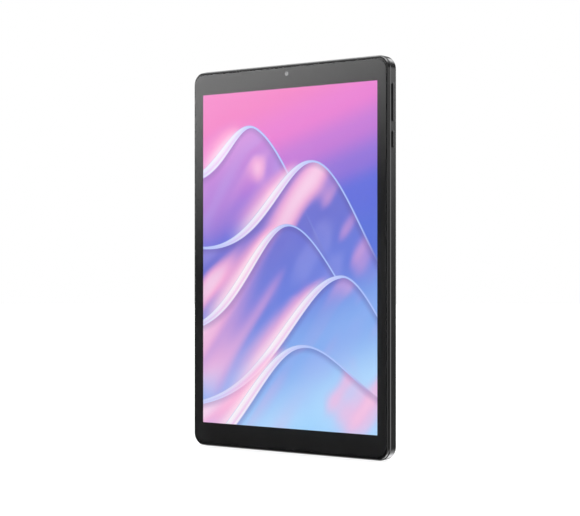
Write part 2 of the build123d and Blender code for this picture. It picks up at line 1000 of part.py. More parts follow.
def rear_camera_module():
    half = rear_camera_size / 2
    body = block(
        camera_x - half, camera_x + half, plate_back + rear_camera_clearance, camera_back_depth(),
        camera_z - half, camera_z + half,
    )
    cavity_front = barrel_back_depth() - barrel_length - barrel_room
    return body - disc(camera_x, camera_z, barrel_radius + barrel_gap, cavity_front, camera_back_depth())


def rear_camera_barrel():
    back = barrel_back_depth()
    barrel = disc(camera_x, camera_z, barrel_radius, back - barrel_length, back)
    return barrel - disc(camera_x, camera_z, barrel_bore_radius, back - rear_lens_seat, back)


def rear_camera_lens():
    back = barrel_back_depth()
    radius = barrel_bore_radius - rear_lens_gap
    lens = disc(camera_x, camera_z, radius, back - rear_lens_seat, back - rear_lens_sunk)
    return fillet(lens.edges().group_by(Axis.Y)[-1], rear_lens_dome)


def microphones():
    half = microphone_size / 2
    bottom = block(
        bottom_mic_x - half, bottom_mic_x + half, board_back, board_back + microphone_height,
        sub_low, sub_low + microphone_size,
    )
    top = block(
        top_mic_x - half, top_mic_x + half, board_back, board_back + microphone_height,
        main_high - microphone_size, main_high,
    )
    return group([bottom, top])


# Boards

def main_board():
    board = block(-main_half, main_half, board_front, board_back, main_low, main_high)
    jack_edge = jack_x + jack_body_width / 2 + board_cut_gap
    jack_low = cavity_high - port_gap - jack_body_length - board_cut_gap
    board -= block(-main_half, jack_edge, board_front, board_back, jack_low, main_high)
    camera_edge = camera_x - camera_flange_radius - board_cut_gap
    camera_low = camera_z - camera_flange_radius - board_cut_gap
    board -= block(camera_edge, main_half, board_front, board_back, camera_low, main_high)
    holes = [
        disc(x, z, screw_radius + screw_clearance, board_front, board_back)
        for x, z in main_screw_places()
    ]
    return board.cut(*holes)


def shield_cans():
    cans = []
    for left, right, up, tall in shield_areas:
        low = main_low + up
        can = block(left, right, board_back, can_back, low, low + tall)
        can -= block(
            left + can_wall, right - can_wall, board_back, can_back - can_wall,
            low + can_wall, low + tall - can_wall,
        )
        cans.append(can)
    return group(cans)


def board_chips():
    return group([
        block(
            x - across / 2, x + across / 2, board_back, board_back + chip_height,
            main_low + up - tall / 2, main_low + up + tall / 2,
        )
        for x, up, across, tall in chips
    ])


def heat_spreader():
    left = shield_areas[0][0]
    right = shield_areas[1][1]
    up = shield_areas[0][2]
    tall = shield_areas[0][3]
    return block(left, right, can_back, can_back + spreader_thickness, main_low + up, main_low + up + tall)


def connector(x, low, across, tall):
    """Low board connector on the rear face of a board."""
    return block(x - across / 2, x + across / 2, board_back, board_back + connector_height, low, low + tall)


def board_connectors():
    link_low = connector(0, sub_high - link_plug_drop, link_width + link_plug_side, link_plug_width)
    link_high = connector(0, main_low + link_plug_rise, link_width + link_plug_side, link_plug_width)
    plug_half = wire_pitch * wire_count / 2 + battery_plug_side
    plug_low = main_low + battery_plug_rise
    battery = block(
        battery_plug_x - plug_half, battery_plug_x + plug_half, board_back, board_back + battery_plug_height,
        plug_low, plug_low + battery_plug_width,
    )
    end = board_front - connector_height / 2
    tail = sub_low + sub_board_height / 2
    display = block(
        -display_flex_width / 2, display_flex_width / 2, end, board_front, tail - display_plug_width, tail
    )
    plugs = [
        disc(x, z, coax_plug_radius, board_back, board_back + coax_lift) for x, z in antenna_cable_ends()
    ]
    return group([link_low, link_high, battery, display, *plugs])


def sub_board():
    half = sub_board_width / 2
    board = block(-half, half, board_front, board_back, sub_low, sub_high)
    cut_half = usb_width / 2 + board_cut_gap
    board -= block(
        -cut_half, cut_half, board_front, board_back, sub_low, usb_recess + usb_depth + board_cut_gap
    )
    holes = [
        disc(x, z, screw_radius + screw_clearance, board_front, board_back)
        for x, z in sub_screw_places()
    ]
    return board.cut(*holes)


def screws(places):
    """Pan-head screws into the frame's posts."""
    head_back = board_back + screw_head_height
    long = screw_cross_length / 2
    wide = screw_cross_width / 2
    made = []
    for x, z in places:
        screw = disc(x, z, screw_head_radius, board_back, head_back)
        screw = fillet(screw.edges().group_by(Axis.Y)[-1], screw_head_round)
        screw += disc(x, z, screw_radius, plate_back + screw_end_gap, board_back)
        for half_x, half_z in ((long, wide), (wide, long)):
            screw -= block(
                x - half_x, x + half_x, head_back - screw_cross_depth, head_back, z - half_z, z + half_z
            )
        made.append(screw)
    return group(made)


def board_link_flex():
    near = board_back + connector_height
    half = link_width / 2
    high = main_low + link_plug_rise + link_plug_width
    return block(-half, half, near, near + link_thickness, sub_high - link_plug_drop, high)


def antennas():
    """Printed antenna foils behind the cover in the back."""
    z = height - antenna_cover_drop
    back = wall_front - antenna_gap
    return group([
        block(
            antenna_cover_x() + offset - across / 2, antenna_cover_x() + offset + across / 2,
            back - antenna_thickness, back, z - antenna_height / 2, z + antenna_height / 2,
        )
        for offset, across in antenna_places
    ])


def antenna_cable_ends():
    """X and Z of the cable's plugs, on the main board and on the lower board."""
    upper = (-main_half + coax_plug_inset, main_low + coax_plug_up)
    lower = (-sub_board_width / 2 + coax_sub_inset, sub_high - coax_sub_drop)
    return upper, lower


def antenna_cable():
    """Coaxial cable down the left side, from the main board to the lower board."""
    y = front_y + board_back + coax_lift + coax_radius
    run_x = -(cavity_half + battery_half) / 2
    upper, lower = antenna_cable_ends()
    leave_z = main_low - coax_turn_drop
    turn_z = sub_high + battery_end_gap / 2
    route = [
        upper,
        (upper[0], leave_z),
        (run_x, leave_z),
        (run_x, turn_z),
        (lower[0], turn_z),
        lower,
    ]
    points = [(x, y, z - middle) for x, z in route]
    path = FilletPolyline(*points, radius=coax_bend)
    profile = Plane(origin=points[0], z_dir=(0, 0, -1)) * Circle(coax_radius)
    return sweep(profile, path)


# Battery

def battery_cell(side):
    inner = battery_gap / 2
    across = battery_half - inner
    tall = battery_high - battery_low
    cell = slab(
        across, tall, battery_corner, battery_front, battery_back,
        side * (inner + across / 2), (battery_low + battery_high) / 2,
    )
    return chamfer(cell.edges().group_by(Axis.Y)[-1], battery_chamfer)


def battery_tape():
    inner = battery_gap / 2
    half = battery_tape_width / 2
    low = battery_low + battery_tape_end_gap
    high = battery_high - battery_tape_end_gap
    strips = []
    for side in (-1, 1):
        for share in battery_tape_places:
            x = side * (inner + share * (battery_half - inner))
            strips.append(block(x - half, x + half, plate_back, battery_front, low, high))
    return group(strips)


def battery_protection_board():
    half = protection_board_length / 2
    low = battery_high + protection_board_gap
    high = battery_high + protection_board_width - protection_board_gap
    return block(-half, half, board_front, board_back, low, high)


def battery_cable():
    depth = board_back + wire_radius + wire_lift
    low = battery_high + protection_board_gap + wire_overlap
    offsets = spread(wire_pitch * (wire_count - 1) / 2, wire_count)
    return group([
        end_disc(wire_radius, low, main_low + battery_plug_rise, battery_plug_x + offset, depth)
        for offset in offsets
    ])


write(cover_glass(), "cover_glass")
write(glass_border_mask(), "glass_border_mask")
write(bonding_film(), "bonding_film")
write(display_tape(), "display_tape")
write(lcd_panel(), "lcd_panel")
write(backlight_films(), "backlight_films")
write(light_guide(), "light_guide")
write(led_light_bar(), "led_light_bar")
write(reflector_sheet(), "reflector_sheet")
write(backlight_tray(), "backlight_tray")
write(display_flex(), "display_flex")
write(front_frame(), "front_frame")
write(rear_housing(), "rear_housing")
write(antenna_cover(), "antenna_cover")
write(volume_rocker(), "volume_rocker")
write(power_button(), "power_button")
write(power_switch_plunger(), "power_switch_plunger")
write(side_key_switches(), "side_key_switches")
write(side_key_flex(), "side_key_flex")
write(side_key_bracket(), "side_key_bracket")
write(usb_c_shell(), "usb_c_shell")
write(usb_c_tongue(), "usb_c_tongue")
write(headphone_jack(), "headphone_jack")
write(card_reader(), "card_reader")
write(card_tray(), "card_tray")
write(memory_card(), "memory_card")
for name, side in (("left", -1), ("right", 1)):
    write(speaker_box(side), f"speaker_box_{name}")
    write(speaker_diaphragm(side), f"speaker_diaphragm_{name}")
    write(speaker_magnet(side), f"speaker_magnet_{name}")
    write(battery_cell(side), f"battery_cell_{name}")
write(speaker_meshes(), "speaker_meshes")
write(front_camera_module(), "front_camera_module")
write(front_camera_lens(), "front_camera_lens")
write(light_sensor(), "light_sensor")
write(rear_camera_ring(), "rear_camera_ring")
write(rear_camera_glass(), "rear_camera_glass")
write(rear_camera_module(), "rear_camera_module")
write(rear_camera_barrel(), "rear_camera_barrel")
write(rear_camera_lens(), "rear_camera_lens")
write(microphones(), "microphones")
write(main_board(), "main_board")
write(shield_cans(), "shield_cans")
write(board_chips(), "board_chips")
write(heat_spreader(), "heat_spreader")
write(board_connectors(), "board_connectors")
write(sub_board(), "sub_board")
write(screws(main_screw_places() + sub_screw_places()), "board_screws")
write(screws(speaker_screw_places()), "speaker_screws")
write(board_link_flex(), "board_link_flex")
write(antennas(), "antennas")
write(antenna_cable(), "antenna_cable")
write(battery_tape(), "battery_tape")
write(battery_protection_board(), "battery_protection_board")
write(battery_cable(), "battery_cable")
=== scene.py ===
import json
import math

import bmesh
import bpy
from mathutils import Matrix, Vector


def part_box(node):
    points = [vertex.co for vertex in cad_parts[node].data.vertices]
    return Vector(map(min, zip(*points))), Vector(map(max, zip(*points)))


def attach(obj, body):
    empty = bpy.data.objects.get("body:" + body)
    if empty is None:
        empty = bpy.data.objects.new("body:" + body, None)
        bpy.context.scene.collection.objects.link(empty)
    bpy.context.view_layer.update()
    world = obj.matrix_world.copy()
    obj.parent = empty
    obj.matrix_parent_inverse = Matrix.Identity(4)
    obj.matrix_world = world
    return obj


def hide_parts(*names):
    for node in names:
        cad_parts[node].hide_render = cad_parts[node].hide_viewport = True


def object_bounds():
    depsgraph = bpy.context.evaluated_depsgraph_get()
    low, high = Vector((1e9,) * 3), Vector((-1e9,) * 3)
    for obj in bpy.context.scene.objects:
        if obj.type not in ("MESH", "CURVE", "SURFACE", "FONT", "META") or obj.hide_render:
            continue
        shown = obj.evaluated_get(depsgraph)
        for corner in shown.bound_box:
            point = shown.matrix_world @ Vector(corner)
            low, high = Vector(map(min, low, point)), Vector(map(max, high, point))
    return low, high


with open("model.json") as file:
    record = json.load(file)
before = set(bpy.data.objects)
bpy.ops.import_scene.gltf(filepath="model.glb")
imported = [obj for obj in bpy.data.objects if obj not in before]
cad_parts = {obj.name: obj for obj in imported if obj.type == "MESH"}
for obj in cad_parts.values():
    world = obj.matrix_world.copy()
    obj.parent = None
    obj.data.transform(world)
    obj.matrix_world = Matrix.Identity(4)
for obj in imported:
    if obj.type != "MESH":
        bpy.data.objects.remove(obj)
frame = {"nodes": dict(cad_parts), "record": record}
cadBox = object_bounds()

nodes = frame["nodes"]
record = frame["record"]
mm = 0.001
print("frame loaded:", len(nodes), "nodes")


# Node helpers

def addNode(tree, kind, settings=None, inputs=None):
    node = tree.nodes.new(kind)
    for name, value in (settings or {}).items():
        setattr(node, name, value)
    for name, value in (inputs or {}).items():
        feed(tree, node.inputs[name], value)
    return node


def feed(tree, socket, value):
    # a link for a socket, a plain setting for anything else
    if isinstance(value, bpy.types.NodeSocket):
        tree.links.new(value, socket)
    else:
        socket.default_value = value


def work(tree, operation, *values):
    # one sum of up to three values
    node = addNode(tree, "ShaderNodeMath", {"operation": operation})
    for socket, value in zip(node.inputs, values):
        feed(tree, socket, value)
    return node.outputs[0]


def between(tree, value, low, high, first=0.0, last=1.0, smooth=True):
    # value carried from low..high to first..last, and held at both ends
    settings = {"interpolation_type": "SMOOTHSTEP" if smooth else "LINEAR"}
    inputs = {"Value": value, "From Min": low, "From Max": high, "To Min": first, "To Max": last}
    return addNode(tree, "ShaderNodeMapRange", settings, inputs).outputs["Result"]


def betweenAngles(tree, angle, span, first=0.0, last=1.0, smooth=True):
    # the same for an angle, with its span in degrees
    return between(tree, angle, math.radians(span[0]), math.radians(span[1]), first, last, smooth)


def window(tree, angle, opens, closes):
    # one from the end of opens to the start of closes, with soft ends, in degrees
    opened = betweenAngles(tree, angle, opens)
    return work(tree, "MULTIPLY", opened, betweenAngles(tree, angle, closes, 1.0, 0.0))


def colour(red, green, blue):
    return (red, green, blue, 1.0)


def mixColours(tree, share, first, second, kind="MIX"):
    node = addNode(tree, "ShaderNodeMix", {"data_type": "RGBA", "blend_type": kind})
    feed(tree, node.inputs[0], share)
    feed(tree, node.inputs[6], first)
    feed(tree, node.inputs[7], second)
    return node.outputs[2]


def rampOf(tree, value, stops):
    ramp = addNode(tree, "ShaderNodeValToRGB", inputs={"Fac": value})
    ramp.color_ramp.interpolation = "EASE"
    elements = ramp.color_ramp.elements
    for index, (place, tint) in enumerate(stops):
        element = elements[index] if index < 2 else elements.new(place)
        element.position = place
        element.color = tint
    return ramp.outputs["Color"]


def grain(tree, place, scale, detail=2.0, stretch=(1.0, 1.0, 1.0)):
    # cloudy pattern, drawn out along an axis when its stretch is below one
    moved = addNode(tree, "ShaderNodeMapping", inputs={"Vector": place, "Scale": stretch}).outputs[0]
    inputs = {"Vector": moved, "Scale": scale, "Detail": detail}
    return addNode(tree, "ShaderNodeTexNoise", inputs=inputs).outputs[0]


def relief(tree, shader, height, depth):
    bump = addNode(tree, "ShaderNodeBump", inputs={"Height": height, "Distance": depth, "Strength": 1.0})
    tree.links.new(bump.outputs["Normal"], shader.inputs["Normal"])


def startFinish(name):
    material = bpy.data.materials.new(name)
    material.use_nodes = True
    tree = material.node_tree
    place = addNode(tree, "ShaderNodeTexCoord").outputs["Object"]
    return material, tree, tree.nodes["Principled BSDF"], place


# Plain finishes: two shades in soft patches, a fine grain, and a little relief

def solidFinish(name, look):
    material, tree, shader, place = startFinish(name)
    stretch = look.get("stretch", (1.0, 1.0, 1.0))
    patches = grain(tree, place, look["patch"], 3.0, stretch)
    fine = grain(tree, place, look["grain"], 2.0, stretch)
    share = between(tree, work(tree, "MULTIPLY_ADD", fine, 0.45, patches), 0.45, 1.0)
    tree.links.new(
        mixColours(tree, share, colour(*look["shade"]), colour(*look["light"])), shader.inputs["Base Color"]
    )
    low, high = look["roughness"]
    tree.links.new(between(tree, fine, 0.3, 0.7, low, high), shader.inputs["Roughness"])
    relief(tree, shader, fine, look["relief"])
    shader.inputs["Metallic"].default_value = look.get("metallic", 0.0)
    shader.inputs["IOR"].default_value = look.get("ior", 1.5)
    shader.inputs["Coat Weight"].default_value = look.get("coat", 0.0)
    shader.inputs["Coat Roughness"].default_value = look.get("coatRoughness", 0.1)
    return material


solidLooks = {
    "housing_metal": {
        "light": (0.112, 0.112, 0.114), "shade": (0.106, 0.106, 0.108), "patch": 60.0, "grain": 5200.0,
        "roughness": (0.17, 0.24), "relief": 0.000002, "metallic": 1.0,
    },
    "frame_plastic": {
        "light": (0.0035, 0.0035, 0.0037), "shade": (0.0022, 0.0022, 0.0024), "patch": 90.0, "grain": 4200.0,
        "roughness": (0.16, 0.24), "relief": 0.000002,
    },
    "key_metal": {
        "light": (0.118, 0.118, 0.120), "shade": (0.100, 0.100, 0.102), "patch": 160.0, "grain": 5200.0,
        "roughness": (0.18, 0.26), "relief": 0.000002, "metallic": 1.0,
    },
    "tray_metal": {
        "light": (0.118, 0.118, 0.120), "shade": (0.100, 0.100, 0.102), "patch": 160.0, "grain": 5200.0,
        "roughness": (0.17, 0.24), "relief": 0.000002, "metallic": 1.0,
    },
    "antenna_plastic": {
        "light": (0.020, 0.020, 0.0215), "shade": (0.017, 0.017, 0.0185), "patch": 80.0, "grain": 3800.0,
        "roughness": (0.34, 0.44), "relief": 0.000008,
    },
    "black_plastic": {
        "light": (0.022, 0.022, 0.024), "shade": (0.012, 0.012, 0.013), "patch": 200.0, "grain": 2600.0,
        "roughness": (0.45, 0.6), "relief": 0.000012,
    },
    "jack_plastic": {
        "light": (0.030, 0.030, 0.033), "shade": (0.018, 0.018, 0.020), "patch": 260.0, "grain": 2600.0,
        "roughness": (0.22, 0.34), "relief": 0.000006,
    },
    "lens_black": {
        "light": (0.014, 0.014, 0.016), "shade": (0.008, 0.008, 0.009), "patch": 300.0, "grain": 3000.0,
        "roughness": (0.4, 0.55), "relief": 0.000006,
    },
    "tape": {
        "light": (0.040, 0.040, 0.042), "shade": (0.022, 0.022, 0.024), "patch": 500.0, "grain": 1800.0,
        "roughness": (0.75, 0.9), "relief": 0.00003,
    },
    "cable_black": {
        "light": (0.020, 0.020, 0.022), "shade": (0.012, 0.012, 0.013), "patch": 240.0, "grain": 2400.0,
        "roughness": (0.38, 0.5), "relief": 0.000008,
    },
    "chip": {
        "light": (0.030, 0.030, 0.031), "shade": (0.015, 0.015, 0.016), "patch": 260.0, "grain": 3000.0,
        "roughness": (0.5, 0.62), "relief": 0.00001,
    },
    "graphite": {
        "light": (0.075, 0.076, 0.080), "shade": (0.035, 0.035, 0.038), "patch": 180.0, "grain": 900.0,
        "roughness": (0.35, 0.6), "relief": 0.00001, "metallic": 0.3,
    },
    "white_film": {
        "light": (0.93, 0.94, 0.95), "shade": (0.86, 0.87, 0.89), "patch": 40.0, "grain": 1600.0,
        "roughness": (0.55, 0.7), "relief": 0.000004,
    },
    "silver_film": {
        "light": (0.93, 0.93, 0.95), "shade": (0.84, 0.84, 0.87), "patch": 40.0, "grain": 900.0,
        "roughness": (0.08, 0.16), "relief": 0.000004, "metallic": 1.0,
    },
    "tray_steel": {
        "light": (0.62, 0.63, 0.64), "shade": (0.48, 0.49, 0.50), "patch": 220.0, "grain": 1500.0,
        "roughness": (0.26, 0.4), "relief": 0.000005, "metallic": 1.0, "stretch": (1.0, 1.0, 0.04),
    },
    "steel": {
        "light": (0.66, 0.67, 0.68), "shade": (0.50, 0.51, 0.52), "patch": 300.0, "grain": 2000.0,
        "roughness": (0.24, 0.36), "relief": 0.000005, "metallic": 1.0, "stretch": (1.0, 1.0, 0.06),
    },
    "connector_steel": {
        "light": (0.74, 0.75, 0.76), "shade": (0.60, 0.61, 0.62), "patch": 300.0, "grain": 2400.0,
        "roughness": (0.14, 0.24), "relief": 0.000003, "metallic": 1.0,
    },
    "shield": {
        "light": (0.72, 0.73, 0.74), "shade": (0.60, 0.61, 0.61), "patch": 120.0, "grain": 1400.0,
        "roughness": (0.24, 0.4), "relief": 0.00001, "metallic": 1.0,
    },
    "screw_steel": {
        "light": (0.55, 0.55, 0.57), "shade": (0.38, 0.38, 0.40), "patch": 700.0, "grain": 4000.0,
        "roughness": (0.22, 0.36), "relief": 0.000006, "metallic": 1.0,
    },
    "magnet": {
        "light": (0.50, 0.50, 0.51), "shade": (0.34, 0.34, 0.35), "patch": 220.0, "grain": 1600.0,
        "roughness": (0.25, 0.4), "relief": 0.000008, "metallic": 1.0,
    },
    "camera_ring": {
        "light": (0.40, 0.405, 0.415), "shade": (0.32, 0.324, 0.332), "patch": 500.0, "grain": 4200.0,
        "roughness": (0.16, 0.26), "relief": 0.000004, "metallic": 1.0,
    },
    "antenna_foil": {
        "light": (0.88, 0.66, 0.34), "shade": (0.70, 0.50, 0.24), "patch": 260.0, "grain": 1800.0,
        "roughness": (0.2, 0.34), "relief": 0.000005, "metallic": 1.0,
    },
    "wire": {
        "light": (0.50, 0.030, 0.022), "shade": (0.34, 0.018, 0.014), "patch": 300.0, "grain": 2400.0,
        "roughness": (0.3, 0.42), "relief": 0.000006,
    },
    "card_plastic": {
        "light": (0.036, 0.036, 0.041), "shade": (0.020, 0.020, 0.023), "patch": 200.0, "grain": 2600.0,
        "roughness": (0.4, 0.52), "relief": 0.00001,
    },
    "diaphragm_film": {
        "light": (0.14, 0.14, 0.15), "shade": (0.09, 0.09, 0.10), "patch": 260.0, "grain": 1200.0,
        "roughness": (0.25, 0.4), "relief": 0.00001,
    },
    "sensor": {
        "light": (0.050, 0.030, 0.052), "shade": (0.026, 0.014, 0.028), "patch": 500.0, "grain": 3000.0,
        "roughness": (0.12, 0.2), "relief": 0.000002,
    },
    "border_ink": {
        "light": (0.0290, 0.0290, 0.0294), "shade": (0.0265, 0.0265, 0.0269), "patch": 50.0, "grain": 3000.0,
        "roughness": (0.5, 0.6), "relief": 0.000001, "ior": 1.0,
    },
    "mesh": {
        "light": (0.10, 0.10, 0.105), "shade": (0.05, 0.05, 0.053), "patch": 900.0, "grain": 4000.0,
        "roughness": (0.3, 0.45), "relief": 0.000006, "metallic": 0.8,
    },
    "led_bar": {
        "light": (0.84, 0.80, 0.56), "shade": (0.72, 0.68, 0.44), "patch": 300.0, "grain": 1800.0,
        "roughness": (0.3, 0.44), "relief": 0.000006,
    },
}
finishes = {name: solidFinish(name, look) for name, look in solidLooks.items()}


# Clear finishes

def clearFinish(name, look):
    material, tree, shader, place = startFinish(name)
    haze = grain(tree, place, look["grain"], 2.0)
    low, high = look["roughness"]
    tree.links.new(between(tree, haze, 0.3, 0.7, low, high), shader.inputs["Roughness"])
    tint = mixColours(tree, haze, colour(*look["light"]), colour(*look["shade"]))
    tree.links.new(tint, shader.inputs["Base Color"])
    shader.inputs["Transmission Weight"].default_value = 1.0
    shader.inputs["IOR"].default_value = look["ior"]
    return material


clearLooks = {
    "cover_glass": {
        "light": (1.0, 1.0, 1.0), "shade": (0.994, 0.998, 0.996), "grain": 30.0,
        "roughness": (0.0, 0.004), "ior": 1.5,
    },
    "clear_film": {
        "light": (1.0, 1.0, 1.0), "shade": (0.99, 0.995, 1.0), "grain": 40.0,
        "roughness": (0.0, 0.0), "ior": 1.0,
    },
    "clear_acrylic": {
        "light": (0.98, 0.99, 1.0), "shade": (0.95, 0.97, 0.98), "grain": 200.0,
        "roughness": (0.02, 0.06), "ior": 1.49,
    },
    "lens_glass": {
        "light": (0.62, 0.66, 0.92), "shade": (0.50, 0.40, 0.80), "grain": 260.0,
        "roughness": (0.0, 0.02), "ior": 1.6,
    },
    "camera_glass": {
        "light": (0.90, 0.91, 0.93), "shade": (0.84, 0.85, 0.88), "grain": 200.0,
        "roughness": (0.0, 0.01), "ior": 1.5,
    },
}
finishes.update({name: clearFinish(name, look) for name, look in clearLooks.items()})


# Circuit finishes

def boardFinish(name, look):
    # solder mask over copper: tracks show as lighter lines and pads as small gold dots
    material, tree, shader, place = startFinish(name)
    cells = addNode(
        tree, "ShaderNodeTexVoronoi", {"feature": "DISTANCE_TO_EDGE", "distance": "EUCLIDEAN"},
        {"Vector": place, "Scale": look["tracks"], "Randomness": 0.55},
    ).outputs["Distance"]
    track = between(tree, cells, 0.02, 0.06, 1.0, 0.0)
    spots = addNode(
        tree, "ShaderNodeTexVoronoi", {"feature": "F1"}, {"Vector": place, "Scale": look["pads"]}
    ).outputs["Distance"]
    pad = between(tree, spots, look["padSize"] * 0.8, look["padSize"], 1.0, 0.0)
    mask = mixColours(tree, track, colour(*look["mask"]), colour(*look["track"]))
    tree.links.new(mixColours(tree, pad, mask, colour(*look["gold"])), shader.inputs["Base Color"])
    tree.links.new(pad, shader.inputs["Metallic"])
    tree.links.new(between(tree, pad, 0.0, 1.0, 0.3, 0.22), shader.inputs["Roughness"])
    relief(tree, shader, work(tree, "MAXIMUM", track, pad), look["relief"])
    return material


def flexFinish(name, look):
    # amber film with copper lines along it
    material, tree, shader, place = startFinish(name)
    lines = addNode(
        tree, "ShaderNodeTexWave", {"wave_type": "BANDS", "bands_direction": "X"},
        {"Vector": place, "Scale": look["lines"], "Distortion": 0.0},
    ).outputs["Fac"]
    line = between(tree, lines, 0.45, 0.6)
    tint = mixColours(tree, line, colour(*look["film"]), colour(*look["copper"]))
    tree.links.new(tint, shader.inputs["Base Color"])
    tree.links.new(between(tree, line, 0.0, 1.0, 0.42, 0.28), shader.inputs["Roughness"])
    relief(tree, shader, line, look["relief"])
    return material


def pouchFinish(name, look):
    # wrinkled foil under a black wrap, bare along the top
    material, tree, shader, place = startFinish(name)
    folds = grain(tree, place, look["folds"], 4.0, (1.0, 1.0, 0.35))
    up = addNode(tree, "ShaderNodeSeparateXYZ", inputs={"Vector": place}).outputs["Z"]
    bare = between(tree, up, look["wrapTop"], look["wrapTop"] + 0.0004)
    tint = mixColours(tree, bare, colour(*look["wrap"]), colour(*look["foil"]))
    tree.links.new(tint, shader.inputs["Base Color"])
    tree.links.new(bare, shader.inputs["Metallic"])
    tree.links.new(between(tree, folds, 0.3, 0.7, 0.28, 0.45), shader.inputs["Roughness"])
    relief(tree, shader, folds, look["relief"])
    return material


finishes["board"] = boardFinish("board", {
    "mask": (0.006, 0.040, 0.026), "track": (0.012, 0.075, 0.045), "gold": (0.80, 0.58, 0.24),
    "tracks": 420.0, "pads": 700.0, "padSize": 0.16, "relief": 0.00002,
})
finishes["flex"] = flexFinish("flex", {
    "film": (0.44, 0.20, 0.035), "copper": (0.62, 0.30, 0.07), "lines": 260.0, "relief": 0.000008,
})
finishes["battery_foil"] = pouchFinish("battery_foil", {
    "wrap": (0.020, 0.020, 0.022), "foil": (0.68, 0.69, 0.70), "folds": 190.0, "relief": 0.00009,
    "wrapTop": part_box("battery_cell_left")[1].z - 7.0 * mm,
})
print("finishes made:", len(finishes))


# Lit picture: soft folds of light, layer over layer, on a pink to blue ground

screen = {
    "sideMargin": 2.2 * mm, "topMargin": 2.4 * mm, "driverMargin": 6.7 * mm, "brightness": 1.03,
    "groundTilt": 0.10, "deepTilt": 0.14,
    "off": colour(0.004, 0.004, 0.005), "dots": colour(0.008, 0.008, 0.010),
    "ground": [
        (0.0, colour(0.78, 0.135, 0.463)), (0.12, colour(0.733, 0.145, 0.568)),
        (0.21, colour(0.51, 0.147, 0.624)), (0.30, colour(0.261, 0.146, 0.658)),
        (0.38, colour(0.11, 0.143, 0.690)), (0.55, colour(0.09, 0.16, 0.68)),
        (0.78, colour(0.12, 0.34, 0.84)), (1.0, colour(0.35, 0.64, 0.96)),
    ],
    "deep": [
        (0.0, colour(0.66, 0.16, 0.58)), (0.20, colour(0.43, 0.19, 0.66)), (0.42, colour(0.14, 0.155, 0.62)),
        (0.60, colour(0.13, 0.19, 0.69)), (0.80, colour(0.22, 0.40, 0.84)), (1.0, colour(0.42, 0.67, 0.96)),
    ],
}
folds = [
    # crest across and up, its rise, widths left and right of it, lean, band and how far the glow reaches
    {"x": -0.34, "z": 1.24, "rise": 1.15, "wide": (0.62, 0.80), "lean": -0.62, "band": 0.115, "reach": 0.75},
    {"x": 0.34, "z": 0.90, "rise": 1.25, "wide": (0.78, 0.72), "lean": -0.30, "band": 0.100, "reach": 1.25},
    {"x": 0.02, "z": 0.32, "rise": 1.20, "wide": (0.74, 0.80), "lean": -0.10, "band": 0.095, "reach": 0.78},
    {"x": 0.60, "z": -0.16, "rise": 1.20, "wide": (0.92, 0.66), "lean": 0.05, "band": 0.105, "reach": 0.85},
    {"x": 0.10, "z": -0.82, "rise": 1.00, "wide": (0.86, 0.90), "lean": 0.22, "band": 0.110, "reach": 0.80},
]
foldInputs = {
    "Crest X": "x", "Crest Z": "z", "Rise": "rise", "Lean": "lean", "Band": "band", "Reach": "reach",
}
foldLook = {
    "edgeSoft": 0.006, "risingSlopes": (-0.4, 1.6), "thinBand": 0.16, "bandEnd": (0.88, 1.06),
    "farEdge": (0.62, 0.98), "farEdgeShare": 0.94, "thinTint": colour(0.42, 0.56, 0.97),
    "sheen": [
        (0.0, colour(1.0, 0.95, 0.95)), (0.30, colour(1.0, 0.88, 0.92)), (0.62, colour(0.93, 0.62, 0.82)),
        (0.86, colour(0.99, 0.90, 0.95)), (1.0, colour(0.80, 0.60, 0.90)),
    ],
    "shadowDepth": 0.07, "shadowShare": 0.42, "shadowTint": colour(0.10, 0.07, 0.36),
    "holdFrom": 0.30, "holdShare": 0.98,
    "rosy": [
        (0.0, colour(0.55, 0.27, 0.70)), (0.5, colour(0.92, 0.42, 0.68)), (1.0, colour(1.0, 0.68, 0.82)),
    ],
    "streakScale": (2.1, 0.5), "streakShare": 0.45, "beamLean": (0.62, 0.8), "beamScale": (3.2, 0.28),
    "beamSeed": 4.0, "beamNoise": 1.1, "silkShare": 0.55, "rosyRamp": (0.46, 0.66), "rosyFrom": (0.47, 0.61),
    "rosyShare": 0.88, "coolFrom": (0.46, 0.34), "coolTint": colour(0.42, 0.42, 0.86), "coolShare": 0.22,
    "beamWidths": (0.05, 0.40), "beamShare": 0.85, "beamSlopes": (0.3, 0.9),
    "beam": [
        (0.0, colour(0.60, 0.28, 0.74)), (0.55, colour(0.98, 0.42, 0.66)), (1.0, colour(1.0, 0.70, 0.82)),
    ],
}


